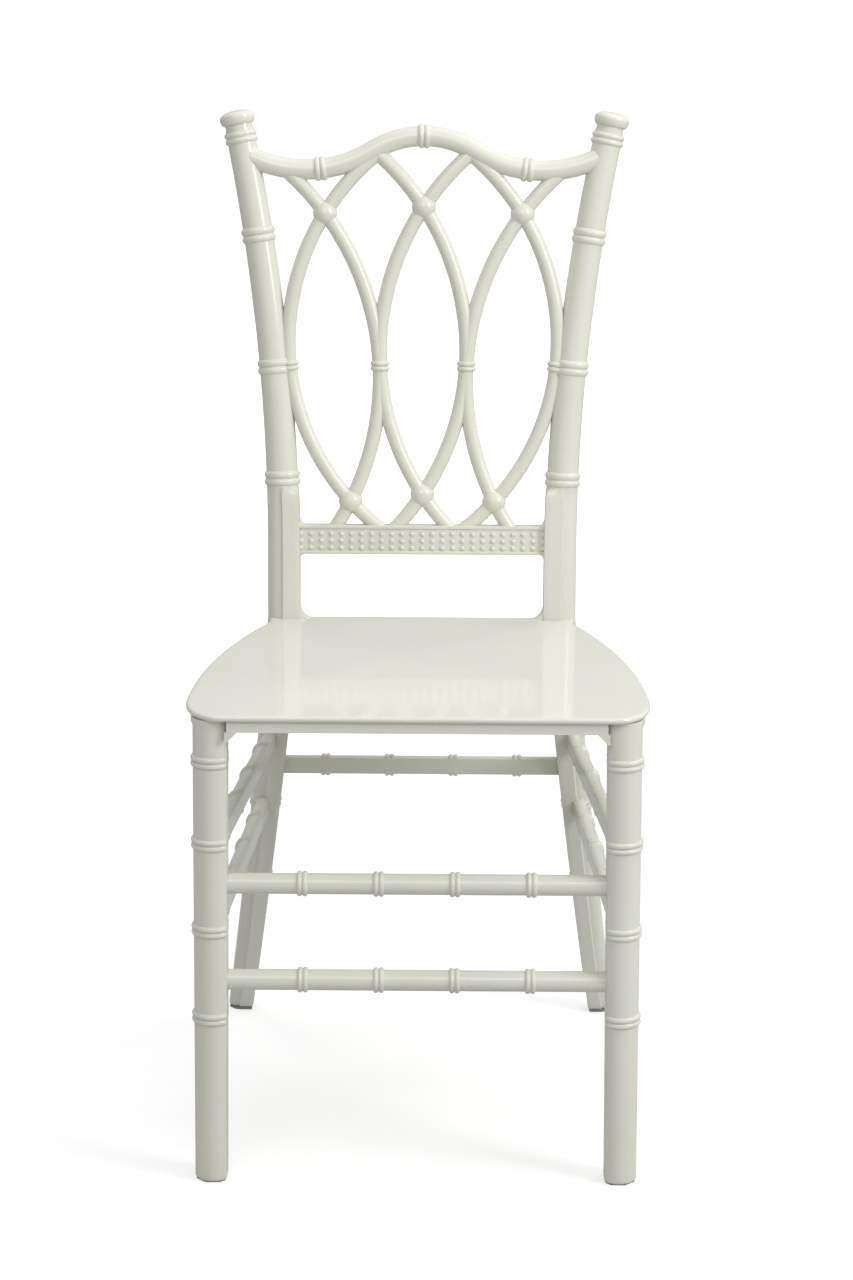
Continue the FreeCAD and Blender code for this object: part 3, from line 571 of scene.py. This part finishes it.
def build_front_leg(bm):
    """Left front leg: round with a flat inner side, and a rounded foot."""
    low = foot_gap
    high = seat_under - seat_gap
    frames = []
    places = stations(high - low, [h - low for h in leg_ring_heights], leg_ring_band)
    for place in sorted(set(places) | set(foot_sections)):
        height = place + low
        radius = front_leg_radius(height)
        rise = sum(ridge(height - ring, leg_ring_band) for ring in leg_ring_heights
                   if abs(height - ring) < leg_ring_band / 2)
        ease = foot_ease * (1 - math.sqrt(1 - (1 - min(1.0, place / foot_ease_height)) ** 2))
        flat = radius * front_leg_flat - ease
        frames.append((front_leg_centre(height), Vector((1, 0, 0)), Vector((0, 1, 0)),
                       radius + rise - ease, d_shape(flat)))
    add_sweep(bm, frames)


def build_finial(bm):
    """Left finial: a flattened cap with a rounded rim on a short neck."""
    side, up = post_section(post_top_height)
    top = post_centre(post_top_height)
    line = side.cross(up)
    half = finial_cap_height / 2
    profile = [
        (-finial_sink, finial_neck_radius),
        (finial_neck_height * finial_neck_rise, finial_neck_radius),
    ]
    steps = 26
    for i in range(steps + 1):
        lift = -math.cos(math.pi * i / steps)
        if lift < 0:
            swell = (1 - lift ** 2) ** 0.5
            radius = finial_neck_radius + (finial_cap_radius - finial_neck_radius) * swell
        else:
            radius = finial_cap_radius * max(0.0004, 1 - lift ** finial_dome) ** 0.5
        profile.append((finial_neck_height + half * (1 + lift), radius))
    add_sweep(bm, [(top + line * rise, side, up, radius, round_shape) for rise, radius in profile])


pair(build_post, "back_post", ivory)
pair(build_front_leg, "front_leg", ivory)
pair(build_finial, "finial", ivory)


# Stretchers

def build_stretcher(bm, start, end, flat_side, pitch):
    """Stretcher between two points: flat on one side, with evenly spaced double rings."""
    length = (end - start).length
    direction = (end - start).normalized()
    side, up = axes(direction, flat_side)
    middle = (stretcher_ring_count - 1) / 2
    ring_places = [length / 2 + pitch * (i - middle) for i in range(stretcher_ring_count)]
    frames = []
    for place in stations(length, ring_places, stretcher_ring_band):
        rise = sum(ridge(place - ring, stretcher_ring_band) for ring in ring_places
                   if abs(place - ring) < stretcher_ring_band / 2)
        frames.append((start + direction * place, side, up, stretcher_radius + rise,
                       d_shape(stretcher_flat)))
    add_sweep(bm, frames)


def build_across(bm, height, end_point, flat_side, pitch):
    """Stretcher from a left leg to its right-hand twin."""
    start = end_point(height)
    build_stretcher(bm, start, mirrored(start), flat_side, pitch)


def build_side(bm, height):
    """Left side stretcher, from the front leg to the back post."""
    start = front_leg_centre(height)
    build_stretcher(bm, start, post_centre(height), Vector((1, 0, 0)), side_ring_pitch)


for level, height in front_stretcher_heights.items():
    single(build_across, "front_" + level + "_stretcher", ivory,
           height, front_leg_centre, Vector((0, 1, 0)), front_ring_pitch)
single(build_across, "rear_stretcher", ivory,
       rear_stretcher_height, post_centre, Vector((0, -1, 0)), rear_ring_pitch)
for level, height in side_stretcher_heights.items():
    pair(build_side, level + "_stretcher", ivory, height)


# Crest rail and ribs

def path_frames(points, ring_at, band, radius):
    """Sections along a line of points in the back's plane, thickened by rings."""
    frames = []
    for i, point in enumerate(points):
        before = points[max(0, i - 1)]
        after = points[min(len(points) - 1, i + 1)]
        side, up = axes(leaned(after) - leaned(before), Vector((0, 1, 0)))
        rise = 0.0
        for ring in ring_at:
            distance = (point - ring).length
            if distance < band / 2:
                rise = max(rise, ridge(distance, band))
        frames.append((leaned(point), side, up, radius + rise, round_shape))
    return frames


def spaced(function, low, high, ring_values, band):
    """Points of a line, closer together in its rings."""
    length = abs(high - low)
    places = stations(length, [abs(value - low) for value in ring_values], band)
    sign = 1 if high > low else -1
    return [function(low + sign * place) for place in places]


def build_crest(bm):
    """Crest rail: one hump between two dips, with three double rings."""
    end = abs(post_centre(crest_dip_height).x) - crest_end_inset
    ring_xs = (-crest_ring_offset, 0.0, crest_ring_offset)
    points = spaced(crest_point, -end, end, ring_xs, crest_ring_band * crest_ring_slant)
    rings = [crest_point(x) for x in ring_xs]
    add_sweep(bm, path_frames(points, rings, crest_ring_band, crest_radius))


single(build_crest, "crest_rail", ivory)

lumbar_top = upright(lumbar_centre_height) + lumbar_height / 2

# Each rib's furthest x, the height there, its bend radius and the side it bulges to
rib_lines = {
    "left_outer_rib": (-outer_rib_reach, outer_rib_height, outer_rib_bend, -1),
    "left_inner_rib": (-waist_offset, inner_rib_height, inner_rib_bend, 1),
    "centre_left_rib": (-waist_offset, centre_rib_height, centre_rib_bend, -1),
    "centre_right_rib": (waist_offset, centre_rib_height, centre_rib_bend, 1),
    "right_inner_rib": (waist_offset, inner_rib_height, inner_rib_bend, -1),
    "right_outer_rib": (outer_rib_reach, outer_rib_height, outer_rib_bend, 1),
}


def rib_top(line):
    """Level at which a rib meets the crest rail's centre line."""
    low = upright(crest_dip_height) - rib_search_drop
    high = upright(crest_peak_height)
    for _ in range(40):
        middle = (low + high) / 2
        point = line(middle)
        if point.z < crest_point(point.x).z:
            low = middle
        else:
            high = middle
    return low


def crossings(first, second):
    """Where two ribs cross: their arcs are sampled and the sign changes are refined."""
    samples = 200
    span = upright(crest_dip_height) - lumbar_top
    levels = [lumbar_top + span * i / samples for i in range(samples + 1)]

    def apart(level):
        """How far the first rib lies to the right of the second."""
        return first(level).x - second(level).x

    found = []
    for a, b in zip(levels, levels[1:]):
        if apart(a) * apart(b) < 0:
            for _ in range(30):
                middle = (a + b) / 2
                if apart(a) * apart(middle) < 0:
                    b = middle
                else:
                    a = middle
            found.append(first(a))
    return found


def add_boss(bm, point):
    """Ball where two ribs cross."""
    levels = 14
    frames = []
    for i in range(levels + 1):
        angle = math.pi * (i / levels - 0.5)
        rise = boss_radius * math.sin(angle)
        radius = boss_radius * max(0.02, math.cos(angle))
        origin = leaned(point + Vector((0, rise, 0)))
        side, up = axes(leaned(point + Vector((0, 1, 0))) - leaned(point), Vector((1, 0, 0)))
        frames.append((origin, side, up, radius, round_shape))
    add_sweep(bm, frames)


# The ribs that carry a ball wherever they cross their partner
bosses = {
    "left_outer_rib": "left_inner_rib",
    "right_outer_rib": "right_inner_rib",
    "centre_left_rib": "centre_right_rib",
}


def build_rib(bm, name):
    """Bent rib from the lumbar rail to the crest rail, with its waist ring and its bosses."""
    line = rib_line(*rib_lines[name])
    waists = [upright(waist_collar_height)] if name.endswith("outer_rib") else []
    points = spaced(line, lumbar_top - rib_foot_sink, rib_top(line), waists, rib_ring_band)
    rings = [line(waist) for waist in waists]
    add_sweep(bm, path_frames(points, rings, rib_ring_band, rib_radius))
    if name in bosses:
        for point in crossings(line, rib_line(*rib_lines[bosses[name]])):
            add_boss(bm, point)


for name in rib_lines:
    single(build_rib, name, ivory, name)


def build_collar(bm):
    """Left waist collar: a pair of ridges round the two ribs where they touch."""
    centre = Vector((-waist_offset, back_plane, upright(waist_collar_height)))
    half = rib_ring_band / 2
    steps = 24
    frames = []
    side, up = axes(leaned(centre + Vector((0, 0, 1))) - leaned(centre), Vector((1, 0, 0)))
    for i in range(steps + 1):
        distance = half * (2 * i / steps - 1)
        radius = rib_radius + collar_gap + ridge(distance, rib_ring_band)
        frames.append((leaned(centre + Vector((0, 0, distance))), side, up, radius, round_shape))
    add_sweep(bm, frames)


pair(build_collar, "waist_collar", ivory)


# Lumbar rail with its sunk panel and beads

def rounded_box(bm, low, high, ease):
    """Box between two corners with its edges rounded."""
    size = high - low
    made = bmesh.ops.create_cube(bm, size=1.0, matrix=Matrix.Translation((low + high) / 2)
                                 @ Matrix.Diagonal((*size, 1)))
    edges = dict.fromkeys(edge for vert in made["verts"] for edge in vert.link_edges)
    bmesh.ops.bevel(bm, geom=list(edges), offset=ease, segments=3, affect="EDGES", profile=0.5)


post_inner_x = post_spacing / 2 - post_seat_radius - post_square_proud


def add_web(bm, x, z, side, up, size, depth):
    """Concave fillet in the corner between a post's inner face and what meets it.

    side is the sign of the post's x, and up tells whether the fillet rises or hangs.
    """
    width, height = size
    front, back = depth
    soft = web_ease
    steps = 10
    inner = x + side * post_seat_radius / 2
    rows = []
    for y, inset in ((front, soft), (front + soft * 0.3, soft * 0.35), (front + soft, 0.0),
                     (back - soft, 0.0), (back - soft * 0.3, soft * 0.35), (back, soft)):
        ring = []
        for i in range(steps + 1):
            angle = math.pi / 2 * i / steps
            across_x = width - (width + inset) * math.sin(angle)
            rise = height - (height + inset) * math.cos(angle)
            ring.append(Vector((x - side * across_x, y, z + up * rise)))
        ring.append(Vector((inner, y, ring[-1].z)))
        ring.append(Vector((inner, y, z - up * web_sink)))
        ring.append(Vector((x - side * width, y, z - up * web_sink)))
        rows.append(ring)
    add_skin(bm, rows)


def add_beads(bm, y, level):
    """Rows of domed beads on the lumbar rail's sunk panel."""
    squash = Matrix.Diagonal((bead_radius, bead_height, bead_radius, 1))
    for column in range(bead_columns):
        for row in range(bead_rows):
            x = (column - (bead_columns - 1) / 2) * bead_pitch
            z = level - bead_row_drop + (row - (bead_rows - 1) / 2) * bead_row_pitch
            matrix = Matrix.Translation((x, y, z)) @ squash
            bmesh.ops.create_uvsphere(bm, u_segments=14, v_segments=8, radius=1.0, matrix=matrix)


def build_lumbar(bm):
    """Lumbar rail: a flat bar with raised borders, beads and fillets at the posts."""
    half_x = post_spacing / 2 - lumbar_end_inset
    half_t = lumbar_thickness / 2
    half_h = lumbar_height / 2
    level = upright(lumbar_centre_height)
    front = back_plane - half_t
    back = back_plane + half_t
    panel_y = front + lumbar_border_proud
    rounded_box(bm, Vector((-half_x, panel_y, level - half_h)),
                Vector((half_x, back, level + half_h)), lumbar_ease)
    for sign in (-1, 1):
        edge = level + sign * half_h
        low, high = sorted((edge, edge - sign * lumbar_border))
        rounded_box(bm, Vector((-half_x, front, low)),
                    Vector((half_x, panel_y + lumbar_border_sink, high)), lumbar_border_ease)
    add_beads(bm, panel_y, level)
    depth = (front + lumbar_fillet_inset, back - lumbar_fillet_inset)
    for sign in (-1, 1):
        for up in (-1, 1):
            add_web(bm, sign * post_inner_x, level + up * half_h, sign, up,
                    (lumbar_fillet, lumbar_fillet), depth)
    for vert in bm.verts:
        vert.co = leaned(vert.co)


single(build_lumbar, "lumbar_rail", ivory)


# Seat

def circle_through(a, b, c):
    """Centre of the circle through three points of the plane."""
    d = 2 * (a[0] * (b[1] - c[1]) + b[0] * (c[1] - a[1]) + c[0] * (a[1] - b[1]))
    sq = [p[0] ** 2 + p[1] ** 2 for p in (a, b, c)]
    x = (sq[0] * (b[1] - c[1]) + sq[1] * (c[1] - a[1]) + sq[2] * (a[1] - b[1])) / d
    y = (sq[0] * (c[0] - b[0]) + sq[1] * (a[0] - c[0]) + sq[2] * (b[0] - a[0])) / d
    return x, y


def seat_outline():
    """Right half of the seat's outline, from the front middle to the back middle."""
    front_steps = 13
    corner_steps = 24
    side_steps = 30
    rear_corner_steps = 8
    back_steps = 10
    corner_x = seat_front_flat / 2
    widest = (seat_width / 2, seat_widest_run)
    middle = (seat_mid_width / 2, seat_mid_run)
    end = (seat_rear_width / 2, seat_rear_run)
    points = [(corner_x * i / front_steps, 0.0) for i in range(front_steps)]
    for i in range(corner_steps):
        angle = math.pi / 2 * i / corner_steps
        x = corner_x + (widest[0] - corner_x) * math.sin(angle)
        points.append((x, widest[1] * (1 - math.cos(angle))))
    cx, cy = circle_through(widest, middle, end)
    radius = math.hypot(widest[0] - cx, widest[1] - cy)
    first = math.atan2(widest[1] - cy, widest[0] - cx)
    last = math.atan2(end[1] - cy, end[0] - cx)
    for i in range(side_steps + 1):
        angle = first + (last - first) * i / side_steps
        points.append((cx + radius * math.cos(angle), cy + radius * math.sin(angle)))
    for i in range(rear_corner_steps + 1):
        angle = math.pi / 2 * i / rear_corner_steps
        points.append((end[0] - seat_rear_corner * (1 - math.cos(angle)),
                       seat_depth - seat_rear_corner * (1 - math.sin(angle))))
    for i in range(1, back_steps + 1):
        points.append(((end[0] - seat_rear_corner) * (1 - i / back_steps), seat_depth))
    return points


def outward(outline):
    """Unit normals of a closed outline, which runs to the right along the seat's front."""
    normals = []
    for i in range(len(outline)):
        ax, ay = outline[i - 1]
        bx, by = outline[(i + 1) % len(outline)]
        length = math.hypot(bx - ax, by - ay)
        normals.append(((by - ay) / length, -(bx - ax) / length))
    return normals


def add_plate(bm):
    """Seat plate with a bullnose edge, from level outlines drawn in by the edge's rounding."""
    half = seat_outline()
    outline = half + [(-x, run) for x, run in reversed(half[1:-1])]
    normals = outward(outline)
    soft = seat_edge / 2
    rings = []
    steps = 10
    for i in range(steps + 1):
        angle = math.pi * (i / steps - 0.5)
        inset = soft * (1 - math.cos(angle)) + seat_edge_inset
        z = seat_under + soft * (1 + math.sin(angle))
        rings.append([Vector((x - nx * inset, y_at(run) - ny * inset, z))
                      for (x, run), (nx, ny) in zip(outline, normals)])
    rims = [[point.lerp(Vector((0, point.y, point.z)), seat_rim_share) for point in ring]
            for ring in (rings[0], rings[-1])]
    rings.insert(0, rims[0])
    rings.append(rims[1])
    add_skin(bm, rings)


def add_seat_ribs(bm):
    """Grid of stiffening ribs under the seat."""
    half_x = seat_rear_width / 2 - block_reach / 2
    first = y_at(block_reach / 2)
    last = y_at(seat_depth - block_reach / 2 - rail_thickness)
    low = seat_under - seat_rib_depth
    high = seat_under + seat_rib_bedding
    wall = seat_rib_wall / 2
    for column in range(seat_rib_columns):
        x = half_x * (2 * column / (seat_rib_columns - 1) - 1)
        rounded_box(bm, Vector((x - wall, first, low)), Vector((x + wall, last, high)),
                    seat_rib_ease)
    for row in range(seat_rib_rows):
        y = first + (last - first) * row / (seat_rib_rows - 1)
        rounded_box(bm, Vector((-half_x, y - wall, low)), Vector((half_x, y + wall, high)),
                    seat_rib_ease)


def build_seat(bm):
    """Seat: its plate, the ribs below and an ear beside each post."""
    add_plate(bm)
    add_seat_ribs(bm)
    depth = (y_at(ear_front_run), y_at(ear_back_run))
    for side in (-1, 1):
        add_web(bm, side * post_inner_x, seat_height, side, 1, (ear_width, ear_height), depth)


single(build_seat, "seat_shell", seat_ivory)


# CAD nodes that keep their own shape

def keep(node, material, ease=0.6):
    """Give a CAD node its material and ease its edges."""
    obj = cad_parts[node]
    for slot in obj.material_slots:
        slot.material = material
    soften = obj.modifiers.new("eased_edges", "BEVEL")
    soften.width = ease * MM
    soften.segments = 2
    soften.limit_method = "ANGLE"
    soften.harden_normals = True


for node in ("front_apron", "rear_seat_rail", "left_seat_rail", "right_seat_rail",
             "left_front_corner_block", "right_front_corner_block",
             "left_rear_corner_block", "right_rear_corner_block"):
    keep(node, ivory)
for node in ("left_front_glide", "right_front_glide", "left_rear_glide", "right_rear_glide"):
    keep(node, glide_grey, 0.3)
for node in ("seat_screws", "corner_bolts"):
    keep(node, steel, 0.2)


# Studio

floor_reach = 6.0
shadow_zone = (1.0, 2.4)
floor_grey = 0.5
floor_glow = 0.57
white_level = 1.1
world_level = 0.46
aim_point = (0, 0, 0.6)


def floor_material():
    """Floor that looks white to the camera, keeps the shadow and bounces half of the light.

    Only the camera sees its glow, which grows with the distance from the chair.
    """
    material = bpy.data.materials.new("studio_floor")
    material.use_nodes = True
    nodes = material.node_tree.nodes
    links = material.node_tree.links
    nodes.clear()
    plain = nodes.new("ShaderNodeBsdfDiffuse")
    plain.inputs["Color"].default_value = (*[floor_grey] * 3, 1)
    place = nodes.new("ShaderNodeTexCoord")
    distance = nodes.new("ShaderNodeVectorMath")
    distance.operation = "LENGTH"
    links.new(place.outputs["Object"], distance.inputs[0])
    lift = nodes.new("ShaderNodeMapRange")
    lift.inputs["From Min"].default_value = shadow_zone[0]
    lift.inputs["From Max"].default_value = shadow_zone[1]
    lift.inputs["To Min"].default_value = floor_glow
    lift.inputs["To Max"].default_value = white_level
    links.new(distance.outputs["Value"], lift.inputs["Value"])
    glow = nodes.new("ShaderNodeEmission")
    links.new(lift.outputs["Result"], glow.inputs["Strength"])
    white = nodes.new("ShaderNodeAddShader")
    links.new(plain.outputs["BSDF"], white.inputs[0])
    links.new(glow.outputs["Emission"], white.inputs[1])
    path = nodes.new("ShaderNodeLightPath")
    choice = nodes.new("ShaderNodeMixShader")
    links.new(path.outputs["Is Camera Ray"], choice.inputs["Fac"])
    links.new(plain.outputs["BSDF"], choice.inputs[1])
    links.new(white.outputs["Shader"], choice.inputs[2])
    out = nodes.new("ShaderNodeOutputMaterial")
    links.new(choice.outputs["Shader"], out.inputs["Surface"])
    return material


def build_floor():
    """Plain floor under the chair."""
    bm = bmesh.new()
    corners = ((-1, -1), (1, -1), (1, 1), (-1, 1))
    bm.faces.new([bm.verts.new((x * floor_reach, y * floor_reach, 0)) for x, y in corners])
    mesh = bpy.data.meshes.new("floor")
    bm.to_mesh(mesh)
    bm.free()
    floor = bpy.data.objects.new("floor", mesh)
    bpy.context.scene.collection.objects.link(floor)
    mesh.materials.append(floor_material())


build_floor()


def lamp(name, place, size, power, mirrored_in_gloss=True, target=aim_point):
    """Soft rectangular studio light, out of the camera's sight."""
    data = bpy.data.lights.new(name, "AREA")
    data.shape = "RECTANGLE"
    data.size, data.size_y = size
    data.energy = power
    light = bpy.data.objects.new(name, data)
    light.location = place
    light.rotation_mode = "QUATERNION"
    light.rotation_quaternion = (Vector(target) - Vector(place)).to_track_quat("-Z", "Y")
    light.visible_camera = False
    light.visible_glossy = mirrored_in_gloss
    bpy.context.scene.collection.objects.link(light)


lamp("key_right", (2.0, -1.1, 1.8), (0.8, 1.5), 32)
lamp("front_soft", (-0.3, -2.1, 2.1), (1.5, 0.9), 14)
lamp("top", (0.3, 0.1, 2.6), (1.8, 1.8), 18, False, (0, 0, 0.4))
lamp("rim_right", (2.0, 1.7, 1.5), (0.7, 1.5), 11, False)
lamp("back_soft", (-1.6, 2.2, 1.8), (1.2, 1.2), 12, False)


def light_world():
    """White behind the chair for the camera, and a plain grey level for everything else."""
    world = bpy.data.worlds.new("studio")
    bpy.context.scene.world = world
    world.use_nodes = True
    nodes = world.node_tree.nodes
    links = world.node_tree.links
    background = nodes["Background"]
    path = nodes.new("ShaderNodeLightPath")
    level = nodes.new("ShaderNodeMapRange")
    level.inputs["To Min"].default_value = world_level
    level.inputs["To Max"].default_value = white_level
    links.new(path.outputs["Is Camera Ray"], level.inputs["Value"])
    links.new(level.outputs["Result"], background.inputs["Strength"])
    background.inputs["Color"].default_value = (1, 1, 1, 1)


light_world()


# Camera, fitted to the photograph

photo_height = 1280
focal_px = 2862.0
sensor_long_side = 36.0
camera_back = 2574.0
camera_height = 1081.1
camera_pitch = math.radians(13.57)
chair_yaw = math.radians(-0.41)
camera_roll = math.radians(0.28)
camera_aside = -6.24
camera_fit_run = 192.06


def place_camera():
    """Camera at the place, angle and focal length that were fitted to the photograph."""
    data = bpy.data.cameras.new("camera")
    data.sensor_fit = "AUTO"
    data.sensor_width = sensor_long_side
    data.lens = focal_px / photo_height * sensor_long_side
    camera = bpy.data.objects.new("camera", data)
    turn = Matrix.Rotation(-chair_yaw, 3, "Z")
    place = turn @ Vector((-camera_aside, -camera_back, camera_height))
    camera.location = (place + Vector((0, y_at(camera_fit_run), 0))) * MM
    forward = turn @ Vector((0, math.cos(camera_pitch), -math.sin(camera_pitch)))
    right = turn @ Vector((1, 0, 0))
    up = right.cross(forward)
    rolled_right = right * math.cos(camera_roll) + up * math.sin(camera_roll)
    rolled_up = rolled_right.cross(forward)
    basis = Matrix((rolled_right, rolled_up, -forward)).transposed()
    camera.rotation_mode = "QUATERNION"
    camera.rotation_quaternion = basis.to_quaternion()
    bpy.context.scene.collection.objects.link(camera)
    bpy.context.scene.camera = camera


place_camera()
bpy.context.scene.view_settings.view_transform = "Standard"
